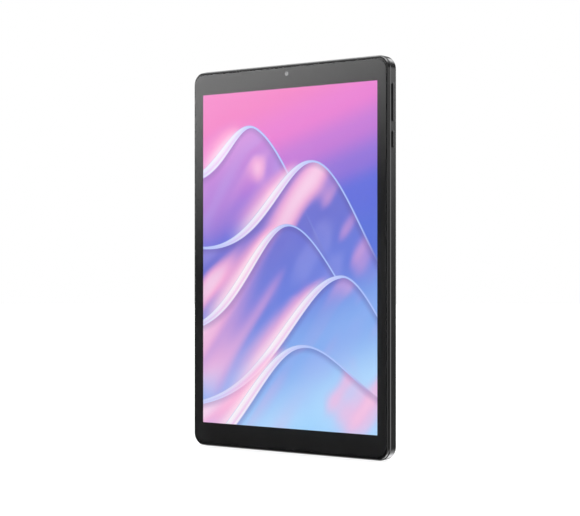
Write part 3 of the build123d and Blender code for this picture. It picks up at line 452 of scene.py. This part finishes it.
def foldShape(tree, given):
    # the crest's line, how deep each point lies under it, and how much the line rises there
    shape = {}
    across = work(tree, "SUBTRACT", given["Across"], given["Crest X"])
    onRight = work(tree, "GREATER_THAN", across, 0.0)
    span = addNode(
        tree, "ShaderNodeMix", inputs={"Factor": onRight, "A": given["Left"], "B": given["Right"]}
    ).outputs[0]
    ratio = work(tree, "DIVIDE", across, span)
    bell = work(tree, "EXPONENT", work(tree, "MULTIPLY", work(tree, "MULTIPLY", ratio, ratio), -1.0))
    tall = work(tree, "MULTIPLY", bell, given["Rise"])
    base = work(tree, "SUBTRACT", given["Crest Z"], given["Rise"])
    edge = work(tree, "ADD", work(tree, "MULTIPLY_ADD", across, given["Lean"], base), tall)
    steep = work(tree, "MULTIPLY", work(tree, "DIVIDE", work(tree, "MULTIPLY", ratio, tall), span), -2.0)
    steep = work(tree, "ADD", steep, given["Lean"])
    slant = work(tree, "SQRT", work(tree, "MULTIPLY_ADD", steep, steep, 1.0))
    shape["ratio"], shape["bell"] = ratio, bell
    shape["depth"] = work(tree, "DIVIDE", work(tree, "SUBTRACT", edge, given["Up"]), slant)
    shape["rising"] = between(tree, steep, *foldLook["risingSlopes"])
    share = between(tree, shape["rising"], 0.0, 1.0, foldLook["thinBand"], 1.0, False)
    shape["bandWidth"] = work(tree, "MULTIPLY", given["Band"], share)
    shape["inside"] = between(tree, shape["depth"], -foldLook["edgeSoft"], foldLook["edgeSoft"])
    return shape


def foldSilk(tree, given, shape, below):
    # slow streaks that follow the crest, crossed by beams that lean to the right, under a thin shadow
    down, side = foldLook["streakScale"]
    streakPlace = addNode(tree, "ShaderNodeCombineXYZ", inputs={
        "X": work(tree, "MULTIPLY", shape["depth"], down), "Y": work(tree, "MULTIPLY", given["Across"], side),
        "Z": given["Crest Z"],
    }).outputs[0]
    streak = addNode(
        tree, "ShaderNodeTexNoise", inputs={"Vector": streakPlace, "Scale": 1.0, "Detail": 0.0}
    ).outputs[0]
    rise, run = foldLook["beamLean"]
    aslant = work(tree, "MULTIPLY_ADD", given["Up"], -rise, work(tree, "MULTIPLY", given["Across"], run))
    along = work(tree, "MULTIPLY_ADD", given["Up"], run, work(tree, "MULTIPLY", given["Across"], rise))
    thick, long = foldLook["beamScale"]
    beamPlace = addNode(tree, "ShaderNodeCombineXYZ", inputs={
        "X": work(tree, "MULTIPLY", aslant, thick), "Y": work(tree, "MULTIPLY", along, long),
        "Z": work(tree, "ADD", given["Crest X"], foldLook["beamSeed"]),
    }).outputs[0]
    beam = addNode(tree, "ShaderNodeTexNoise", inputs={
        "Vector": beamPlace, "Scale": foldLook["beamNoise"], "Detail": 0.5,
    }).outputs[0]
    streak = work(tree, "MULTIPLY", streak, foldLook["streakShare"])
    blend = work(tree, "MULTIPLY_ADD", beam, foldLook["silkShare"], streak)
    rosy = rampOf(tree, between(tree, blend, *foldLook["rosyRamp"], smooth=False), foldLook["rosy"])
    rosyShare = between(tree, blend, *foldLook["rosyFrom"], 0.0, foldLook["rosyShare"])
    silk = mixColours(tree, rosyShare, given["Deep"], rosy)
    coolShare = between(tree, blend, *foldLook["coolFrom"], 0.0, foldLook["coolShare"])
    silk = mixColours(tree, coolShare, silk, foldLook["coolTint"])
    shadow = between(tree, below, 0.0, foldLook["shadowDepth"], 1.0, 0.0)
    shadow = work(tree, "MULTIPLY", shadow, foldLook["shadowShare"])
    return mixColours(tree, shadow, silk, foldLook["shadowTint"])


def foldBeside(tree, given, shape):
    # a rosy beam outside the rising side, widening as it falls
    narrow, wide = foldLook["beamWidths"]
    beside = work(tree, "DIVIDE", shape["depth"], between(tree, shape["bell"], 1.0, 0.0, narrow, wide, False))
    share = between(tree, beside, -1.0, 0.0, 0.0, foldLook["beamShare"])
    share = work(tree, "MULTIPLY", share, between(tree, shape["rising"], *foldLook["beamSlopes"]))
    tint = rampOf(tree, between(tree, beside, -1.0, 0.0, smooth=False), foldLook["beam"])
    return mixColours(tree, share, given["Ground"], tint)


def foldGroup():
    # one fold: a crest with a bright band along its edge and a glow that fades below it
    tree = bpy.data.node_groups.new("lightFold", "ShaderNodeTree")
    face = tree.interface
    for name in ("Across", "Up", "Left", "Right", *foldInputs):
        face.new_socket(name, in_out="INPUT", socket_type="NodeSocketFloat")
    for name in ("Ground", "Deep"):
        face.new_socket(name, in_out="INPUT", socket_type="NodeSocketColor")
    face.new_socket("Picture", in_out="OUTPUT", socket_type="NodeSocketColor")
    given = addNode(tree, "NodeGroupInput").outputs
    shape = foldShape(tree, given)
    inside = shape["inside"]
    below = work(tree, "SUBTRACT", shape["depth"], shape["bandWidth"])
    far = work(tree, "DIVIDE", below, given["Reach"])
    hold = between(tree, far, foldLook["holdFrom"], 1.0, foldLook["holdShare"], 0.0)
    filled = mixColours(tree, inside, foldBeside(tree, given, shape), given["Ground"])
    silk = foldSilk(tree, given, shape, below)
    filled = mixColours(tree, work(tree, "MULTIPLY", inside, hold), filled, silk)
    # the bright band, thin on the far side, where it fades as it falls
    within = work(tree, "DIVIDE", shape["depth"], shape["bandWidth"])
    band = work(tree, "MULTIPLY", inside, between(tree, within, *foldLook["bandEnd"], 1.0, 0.0))
    kept = between(tree, shape["ratio"], *foldLook["farEdge"], foldLook["farEdgeShare"], 0.0)
    tint = mixColours(tree, shape["rising"], foldLook["thinTint"], rampOf(tree, within, foldLook["sheen"]))
    result = mixColours(tree, work(tree, "MULTIPLY", band, kept), filled, tint)
    out = addNode(tree, "NodeGroupOutput")
    tree.links.new(result, out.inputs["Picture"])
    return tree


def screenFinish():
    material, tree, shader, place = startFinish("litScreen")
    low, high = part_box("lcd_panel")
    left, right = low.x + screen["sideMargin"], high.x - screen["sideMargin"]
    bottom, top = low.z + screen["driverMargin"], high.z - screen["topMargin"]
    half = (right - left) / 2
    axes = addNode(tree, "ShaderNodeSeparateXYZ", inputs={"Vector": place})
    across = work(tree, "DIVIDE", work(tree, "SUBTRACT", axes.outputs["X"], (left + right) / 2), half)
    up = work(tree, "DIVIDE", work(tree, "SUBTRACT", axes.outputs["Z"], (bottom + top) / 2), half)
    tall = (top - bottom) / (right - left)
    down = between(tree, up, tall, -tall, smooth=False)
    picture = rampOf(tree, work(tree, "MULTIPLY_ADD", across, screen["groundTilt"], down), screen["ground"])
    deep = rampOf(tree, work(tree, "MULTIPLY_ADD", across, screen["deepTilt"], down), screen["deep"])
    group = foldGroup()
    for fold in folds:
        layer = addNode(tree, "ShaderNodeGroup", {"node_tree": group})
        feed(tree, layer.inputs["Across"], across)
        feed(tree, layer.inputs["Up"], up)
        layer.inputs["Left"].default_value, layer.inputs["Right"].default_value = fold["wide"]
        for socket, key in foldInputs.items():
            layer.inputs[socket].default_value = fold[key]
        feed(tree, layer.inputs["Ground"], picture)
        feed(tree, layer.inputs["Deep"], deep)
        picture = layer.outputs["Picture"]
    lit = work(
        tree, "MULTIPLY",
        work(tree, "LESS_THAN", work(tree, "ABSOLUTE", across), 1.0),
        work(tree, "LESS_THAN", work(tree, "ABSOLUTE", up), tall),
    )
    shown = mixColours(tree, lit, screen["off"], picture)
    tree.links.new(shown, shader.inputs["Emission Color"])
    shader.inputs["Emission Strength"].default_value = screen["brightness"]
    dots = grain(tree, place, 3000.0)
    tree.links.new(mixColours(tree, dots, screen["off"], screen["dots"]), shader.inputs["Base Color"])
    tree.links.new(between(tree, dots, 0.3, 0.7, 0.5, 0.6), shader.inputs["Roughness"])
    return material


finishes["screen"] = screenFinish()
print("lit picture made:", len(folds), "folds")

# Every node gets its slot's finish
slotOf = {row["node"]: row["material_slot"] for row in record["subparts"]}
for name, node in nodes.items():
    for index in range(len(node.material_slots)):
        node.material_slots[index].material = finishes[slotOf[name]]


# Mesh helpers

def makePiece(name, mesh, body, slotName):
    piece = bpy.data.objects.new(name, mesh)
    bpy.context.scene.collection.objects.link(piece)
    if not mesh.materials:
        mesh.materials.append(finishes[slotName])
    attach(piece, body)
    return piece


def nodeCentre(name):
    low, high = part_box(name)
    return (low.x + high.x) / 2, (low.y + high.y) / 2, (low.z + high.z) / 2


def meshFrom(made, name):
    bmesh.ops.recalc_face_normals(made, faces=made.faces)
    mesh = bpy.data.meshes.new(name)
    made.to_mesh(mesh)
    made.free()
    return mesh


def bridge(made, loops):
    # quads from each loop of points to the next
    for near, far in zip(loops, loops[1:]):
        for index in range(len(near)):
            after = (index + 1) % len(near)
            made.faces.new((near[index], near[after], far[after], far[index]))


def closeEnds(made, loops):
    made.faces.new(loops[0])
    made.faces.new(reversed(loops[-1]))


def roundedLoop(halfWide, halfTall, radius, steps):
    # outline of a rounded rectangle, anticlockwise seen from the front
    points = []
    for turn, (sideX, sideZ) in enumerate(((1, 1), (-1, 1), (-1, -1), (1, -1))):
        for step in range(steps + 1):
            angle = math.pi / 2 * (turn + step / steps)
            points.append((
                sideX * (halfWide - radius) + radius * math.cos(angle),
                sideZ * (halfTall - radius) + radius * math.sin(angle),
            ))
    return points


def ringMesh(name, inner, outer, thick, centre, axis, steps):
    # flat ring of some thickness; axis is "y" or "z", thickness measured from the centre along it
    made = bmesh.new()
    loops = []
    for radius, along in ((inner, 0.0), (outer, 0.0), (outer, thick), (inner, thick)):
        loop = []
        for step in range(steps):
            angle = 2 * math.pi * step / steps
            a, b = radius * math.cos(angle), radius * math.sin(angle)
            offset = (a, along, b) if axis == "y" else (a, b, along)
            loop.append(made.verts.new([c + o for c, o in zip(centre, offset)]))
        loops.append(loop)
    bridge(made, loops + loops[:1])
    return meshFrom(made, name)


def discMesh(name, radius, near, far, edge, centre, steps):
    # disc along Y with small bevels on both rims
    made = bmesh.new()
    loops = []
    for r, y in ((radius - edge, near), (radius, near + edge), (radius, far - edge), (radius - edge, far)):
        loops.append([
            made.verts.new((
                centre[0] + r * math.cos(2 * math.pi * step / steps), y,
                centre[1] + r * math.sin(2 * math.pi * step / steps),
            ))
            for step in range(steps)
        ])
    bridge(made, loops)
    closeEnds(made, loops)
    return meshFrom(made, name)


def joined(name, meshes):
    # several meshes of one finish as one
    made = bmesh.new()
    for mesh in meshes:
        made.from_mesh(mesh)
    return meshFrom(made, name)


# Glass: one clear body with rounded front edges, bonded to the ink and the panel behind it

glass = {
    "cornerRadius": 7.12 * mm, "edgeRound": 0.12 * mm, "cornerSteps": 24, "edgeSteps": 4, "bond": 0.01 * mm,
}


def coverGlass():
    low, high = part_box("cover_glass")
    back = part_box("lcd_panel")[0].y + glass["bond"]
    halfWide, halfTall = (high.x - low.x) / 2, (high.z - low.z) / 2
    rounding = glass["edgeRound"]
    rings = []
    for step in range(glass["edgeSteps"] + 1):
        angle = math.pi / 2 * step / glass["edgeSteps"]
        inset = rounding * (1 - math.sin(angle))
        rings.append((inset, low.y + rounding * (1 - math.cos(angle))))
    rings.append((0.0, back))
    made = bmesh.new()
    loops = []
    for inset, y in rings:
        outline = roundedLoop(
            halfWide - inset, halfTall - inset, glass["cornerRadius"] - inset, glass["cornerSteps"]
        )
        loops.append([made.verts.new((x, y, z)) for x, z in outline])
    bridge(made, loops)
    closeEnds(made, loops)
    mesh = meshFrom(made, "coverGlass")
    # smooth sides, flat faces
    for polygon in mesh.polygons:
        polygon.use_smooth = len(polygon.vertices) == 4
    piece = makePiece("coverGlass", mesh, "tablet", "cover_glass")
    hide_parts("cover_glass", "bonding_film")


coverGlass()
print("glass made")


# Repeats: a Geometry Nodes lattice of small blocks, made into one plain mesh

def latticeGroup():
    # columns and rows of equal blocks about a centre, flat in X and Y
    tree = bpy.data.node_groups.new("blockLattice", "GeometryNodeTree")
    face = tree.interface
    for name, kind in (
        ("Columns", "NodeSocketInt"), ("Rows", "NodeSocketInt"), ("Span Across", "NodeSocketFloat"),
        ("Span Along", "NodeSocketFloat"), ("Block Size", "NodeSocketVector"), ("Centre", "NodeSocketVector"),
        ("Finish", "NodeSocketMaterial"),
    ):
        face.new_socket(name, in_out="INPUT", socket_type=kind)
    face.new_socket("Mesh", in_out="OUTPUT", socket_type="NodeSocketGeometry")
    given = addNode(tree, "NodeGroupInput").outputs
    grid = addNode(tree, "GeometryNodeMeshGrid", inputs={
        "Size X": given["Span Across"], "Size Y": given["Span Along"],
        "Vertices X": given["Columns"], "Vertices Y": given["Rows"],
    }).outputs["Mesh"]
    points = addNode(
        tree, "GeometryNodeTransform", inputs={"Geometry": grid, "Translation": given["Centre"]}
    ).outputs[0]
    block = addNode(tree, "GeometryNodeMeshCube", inputs={"Size": given["Block Size"]}).outputs["Mesh"]
    copies = addNode(
        tree, "GeometryNodeInstanceOnPoints", inputs={"Points": points, "Instance": block}
    ).outputs[0]
    solid = addNode(tree, "GeometryNodeRealizeInstances", inputs={"Geometry": copies}).outputs[0]
    done = addNode(
        tree, "GeometryNodeSetMaterial", inputs={"Geometry": solid, "Material": given["Finish"]}
    ).outputs[0]
    out = addNode(tree, "NodeGroupOutput")
    tree.links.new(done, out.inputs["Mesh"])
    return tree


latticeTree = latticeGroup()


def lattice(name, values, slotName):
    # evaluated once, then kept as a plain mesh
    holder = bpy.data.objects.new(name + "Holder", bpy.data.meshes.new(name + "Empty"))
    bpy.context.scene.collection.objects.link(holder)
    modifier = holder.modifiers.new("lattice", "NODES")
    modifier.node_group = latticeTree
    inputIds = {
        item.name: item.identifier for item in latticeTree.interface.items_tree
        if item.item_type == "SOCKET" and item.in_out == "INPUT"
    }
    for key, value in values.items():
        modifier[inputIds[key]] = value
    modifier[inputIds["Finish"]] = finishes[slotName]
    graph = bpy.context.evaluated_depsgraph_get()
    mesh = bpy.data.meshes.new_from_object(holder.evaluated_get(graph))
    mesh.name = name
    holder.modifiers.remove(modifier)
    bpy.data.objects.remove(holder)
    return mesh


# Speaker mesh: fine wires crossing behind the sound slots

speakerMesh = {"pitch": 0.30 * mm, "wire": 0.09 * mm}


def speakerGap():
    # inner end of each mesh, read from the node's own points
    node = nodes["speaker_meshes"]
    return min(abs((node.matrix_world @ vertex.co).x) for vertex in node.data.vertices)


def speakerWeave():
    low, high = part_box("speaker_meshes")
    wire, pitch = speakerMesh["wire"], speakerMesh["pitch"]
    inner, middleY = speakerGap(), nodeCentre("speaker_meshes")[1]
    long, deep = high.x - inner, high.y - low.y
    parts = []
    for side in (-1, 1):
        middleX = side * (inner + high.x) / 2
        # wires across the slot, then wires along it just below them
        parts.append(lattice("weaveAcross", {
            "Columns": round(long / pitch), "Rows": 1, "Span Across": long - wire, "Span Along": 0.0,
            "Block Size": (wire, deep, wire), "Centre": (middleX, middleY, low.z + wire / 2),
        }, "mesh"))
        parts.append(lattice("weaveAlong", {
            "Columns": 1, "Rows": round(deep / pitch), "Span Across": 0.0, "Span Along": deep - wire,
            "Block Size": (long, wire, wire), "Centre": (middleX, middleY, low.z + 1.5 * wire),
        }, "mesh"))
    piece = makePiece("speakerWeave", joined("speakerWeave", parts), "tablet", "mesh")
    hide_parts("speaker_meshes")


speakerWeave()
print("speaker mesh woven")


# Sockets: gold contacts on both faces of the USB-C tongue, and a bright ring round the headphone bore

socketDetail = {
    "contactCount": 12, "contactPitch": 0.5 * mm, "contactWide": 0.28 * mm, "contactLong": 3.4 * mm,
    "contactHigh": 0.02 * mm, "contactStart": 0.5 * mm, "ringInner": 1.86 * mm, "ringOuter": 2.14 * mm,
    "ringHigh": 0.06 * mm, "ringSteps": 64,
}


def usbContacts():
    low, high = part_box("usb_c_tongue")
    wide, long, thick = (socketDetail[key] for key in ("contactWide", "contactLong", "contactHigh"))
    x = nodeCentre("usb_c_tongue")[0]
    z = low.z + socketDetail["contactStart"] + long / 2
    count = socketDetail["contactCount"]
    parts = []
    for y in (low.y - thick / 2, high.y + thick / 2):
        parts.append(lattice("contacts", {
            "Columns": count, "Rows": 1, "Span Across": socketDetail["contactPitch"] * (count - 1),
            "Span Along": 0.0, "Block Size": (wide, thick, long), "Centre": (x, y, z),
        }, "antenna_foil"))
    makePiece("usbContacts", joined("usbContacts", parts), "tablet", "antenna_foil")


def jackRing():
    x, y, _ = nodeCentre("headphone_jack")
    mesh = ringMesh(
        "jackRing", socketDetail["ringInner"], socketDetail["ringOuter"], socketDetail["ringHigh"],
        (x, y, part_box("headphone_jack")[1].z), "z", socketDetail["ringSteps"],
    )
    makePiece("jackRing", mesh, "tablet", "connector_steel")


usbContacts()
jackRing()
print("sockets detailed")


# Rear camera: clear window with a black border printed on its inner face

rearGlass = {
    "inkThick": 0.012 * mm, "inkGap": 0.0024 * mm, "inkInner": 2.3 * mm, "edge": 0.05 * mm, "steps": 96,
}


def rearWindow():
    low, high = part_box("rear_camera_glass")
    x, _, z = nodeCentre("rear_camera_glass")
    radius = (high.x - low.x) / 2
    ink, steps = rearGlass["inkThick"], rearGlass["steps"]
    clear = discMesh("rearWindow", radius, low.y + ink, high.y, rearGlass["edge"], (x, z), steps)
    piece = makePiece("rearWindow", clear, "tablet", "camera_glass")
    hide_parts("rear_camera_glass")
    border = ringMesh(
        "rearWindowInk", rearGlass["inkInner"], radius, ink - rearGlass["inkGap"], (x, low.y, z), "y", steps
    )
    makePiece("rearWindowInk", border, "tablet", "border_ink")


rearWindow()
print("rear camera window made")


# Stage: pale floor, soft studio light and the camera

stage = {
    "floorReach": 4.0, "floorTint": (0.93, 0.93, 0.93), "floorShade": (0.90, 0.90, 0.905), "floorCloud": 1.5,
    "floorRoughness": 0.9, "floorLift": 0.62, "floorCalm": 0.80, "floorSeen": 0.86,
}
# Directions of light in degrees: turn is from the front, positive to the left, and rise is from level.
# A pair of pairs is where a card opens and closes, with soft ends.
studio = {
    "skyRise": (12.0, 80.0), "sky": (0.02, 1.15),
    "boxStrength": 4.25, "boxTurn": ((-5.0, 25.0), (60.0, 88.0)), "boxRise": ((-6.0, 1.0), (60.0, 75.0)),
    "boxMiddle": 31.2, "boxLean": 0.45, "boxEdge": (2.8, 13.2),
    "boxUpper": (10.5, 18.0), "boxUpperShare": 0.12,
    "stripStrength": 1.5, "stripTurn": ((-85.0, -62.0), (-45.0, -20.0)),
    "stripRise": ((-45.0, -20.0), (14.0, 28.0)),
    "behindTurn": (95.0, 125.0), "highRise": (38.0, 46.0), "highStrength": 4.0,
    "glowRise": (-8.0, 8.0), "glowPower": 4.5, "glowStrength": 0.78, "glowLeast": 0.14,
    "glowEnd": (11.0, 15.0), "throughTurn": (163.0, 176.0), "throughStrength": 2.6,
    "groundRise": (-14.0, -24.0), "groundStrength": 0.9,
    "sideTurn": ((66.0, 84.0), (102.0, 122.0)), "sideRise": (-35.0, 35.0), "sideStrengths": (0.2, 0.9),
    "lowTurn": ((42.0, 56.0), (84.0, 100.0)), "lowRise": ((-40.0, -28.0), (-14.0, -6.0)), "lowStrength": 1.0,
}
view = {
    "lens": 89.68, "sensor": 36.0, "shiftUp": 0.0201, "place": (0.53151, -0.76234, -0.00717), "turn": 35.10,
}


def floorPiece():
    made = bmesh.new()
    bmesh.ops.create_circle(made, cap_ends=True, segments=96, radius=stage["floorReach"])
    bmesh.ops.translate(made, verts=made.verts, vec=(0.0, 0.0, cadBox[0][2]))
    mesh = bpy.data.meshes.new("floor")
    made.to_mesh(mesh)
    made.free()
    material, tree, shader, place = startFinish("paleFloor")
    cloud = grain(tree, place, stage["floorCloud"])
    tint = mixColours(tree, cloud, colour(*stage["floorTint"]), colour(*stage["floorShade"]))
    # the camera sees it no brighter than the white behind it, so outlines stay as wide below as above
    seen = addNode(tree, "ShaderNodeLightPath").outputs["Is Camera Ray"]
    tint = mixColours(tree, work(tree, "MULTIPLY", seen, stage["floorCalm"]), tint, colour(0.0, 0.0, 0.0))
    tree.links.new(tint, shader.inputs["Base Color"])
    shader.inputs["Roughness"].default_value = stage["floorRoughness"]
    shader.inputs["Emission Color"].default_value = colour(1.0, 1.0, 1.0)
    lift = between(tree, seen, 0.0, 1.0, stage["floorLift"], stage["floorSeen"], False)
    tree.links.new(lift, shader.inputs["Emission Strength"])
    mesh.materials.append(material)
    floor = bpy.data.objects.new("floor", mesh)
    bpy.context.scene.collection.objects.link(floor)
    floor.visible_glossy = False


def studioStrength(tree, turn, rise):
    # wide box, front left: it grows brighter upwards and to the left
    along = work(tree, "SUBTRACT", turn, math.radians(studio["boxMiddle"]))
    reach = work(tree, "MULTIPLY_ADD", along, studio["boxLean"], rise)
    box = betweenAngles(tree, reach, studio["boxEdge"], 0.0, studio["boxStrength"])
    box = work(tree, "MULTIPLY", box, window(tree, turn, *studio["boxTurn"]))
    box = work(tree, "MULTIPLY", box, window(tree, rise, *studio["boxRise"]))
    upper = betweenAngles(tree, rise, studio["boxUpper"], 1.0, studio["boxUpperShare"])
    box = work(tree, "MULTIPLY", box, upper)
    # upright strip, front right
    strip = work(tree, "MULTIPLY", window(tree, turn, *studio["stripTurn"]), studio["stripStrength"])
    strip = work(tree, "MULTIPLY", strip, window(tree, rise, *studio["stripRise"]))
    # behind: bright high up, a dark gap under that, a glow near the horizon, and a pale ground
    aside = work(tree, "ABSOLUTE", turn)
    high = betweenAngles(tree, rise, studio["highRise"], 0.0, studio["highStrength"])
    lifted = betweenAngles(tree, rise, studio["glowRise"], smooth=False)
    glow = work(tree, "POWER", lifted, studio["glowPower"])
    glow = work(tree, "MULTIPLY_ADD", glow, studio["glowStrength"], studio["glowLeast"])
    glow = work(tree, "MULTIPLY", glow, betweenAngles(tree, rise, studio["glowEnd"], 1.0, 0.0))
    through = betweenAngles(tree, aside, studio["throughTurn"], 0.0, studio["throughStrength"])
    ground = betweenAngles(tree, rise, studio["groundRise"], 0.0, studio["groundStrength"])
    cards = work(tree, "ADD", work(tree, "ADD", high, glow), work(tree, "ADD", ground, through))
    cards = work(tree, "MULTIPLY", cards, betweenAngles(tree, aside, studio["behindTurn"]))
    # soft cards out to both sides, brighter upwards
    sides = betweenAngles(tree, rise, studio["sideRise"], *studio["sideStrengths"])
    sides = work(tree, "MULTIPLY", window(tree, aside, *studio["sideTurn"]), sides)
    cards = work(tree, "ADD", cards, sides)
    # a low card on the left, out of the front's reflection
    low = work(tree, "MULTIPLY", window(tree, turn, *studio["lowTurn"]), studio["lowStrength"])
    low = work(tree, "MULTIPLY", low, window(tree, rise, *studio["lowRise"]))
    cards = work(tree, "ADD", cards, low)
    sky = betweenAngles(tree, rise, studio["skyRise"], *studio["sky"])
    return work(tree, "ADD", work(tree, "ADD", sky, box), work(tree, "ADD", strip, cards))


def studioWorld():
    # plain white to the camera; for light, a soft sky with soft cards round it
    world = bpy.data.worlds.new("studio")
    world.use_nodes = True
    tree = world.node_tree
    tree.nodes.clear()
    direction = addNode(tree, "ShaderNodeTexCoord").outputs["Generated"]
    axes = addNode(tree, "ShaderNodeSeparateXYZ", inputs={"Vector": direction}).outputs
    rise = work(tree, "ARCSINE", axes["Z"])
    left, front = (work(tree, "MULTIPLY", axes[name], -1.0) for name in "XY")
    turn = work(tree, "ARCTAN2", left, front)
    strength = studioStrength(tree, turn, rise)
    white = colour(1.0, 1.0, 1.0)
    lamp = addNode(tree, "ShaderNodeBackground", inputs={"Color": white, "Strength": strength})
    plain = addNode(tree, "ShaderNodeBackground", inputs={"Color": white, "Strength": 1.0})
    seen = addNode(tree, "ShaderNodeLightPath").outputs["Is Camera Ray"]
    both = addNode(tree, "ShaderNodeMixShader", inputs={"Fac": seen})
    tree.links.new(lamp.outputs[0], both.inputs[1])
    tree.links.new(plain.outputs[0], both.inputs[2])
    out = addNode(tree, "ShaderNodeOutputWorld")
    tree.links.new(both.outputs[0], out.inputs["Surface"])
    bpy.context.scene.world = world


def placeCamera():
    data = bpy.data.cameras.new("camera")
    data.lens = view["lens"]
    data.sensor_width = view["sensor"]
    data.shift_y = view["shiftUp"]
    data.clip_start = 0.01
    camera = bpy.data.objects.new("camera", data)
    camera.location = view["place"]
    camera.rotation_euler = (math.radians(90.0), 0.0, math.radians(view["turn"]))
    bpy.context.scene.collection.objects.link(camera)
    bpy.context.scene.camera = camera


floorPiece()
studioWorld()
placeCamera()
bpy.context.scene.view_settings.view_transform = "Standard"
print("stage set")
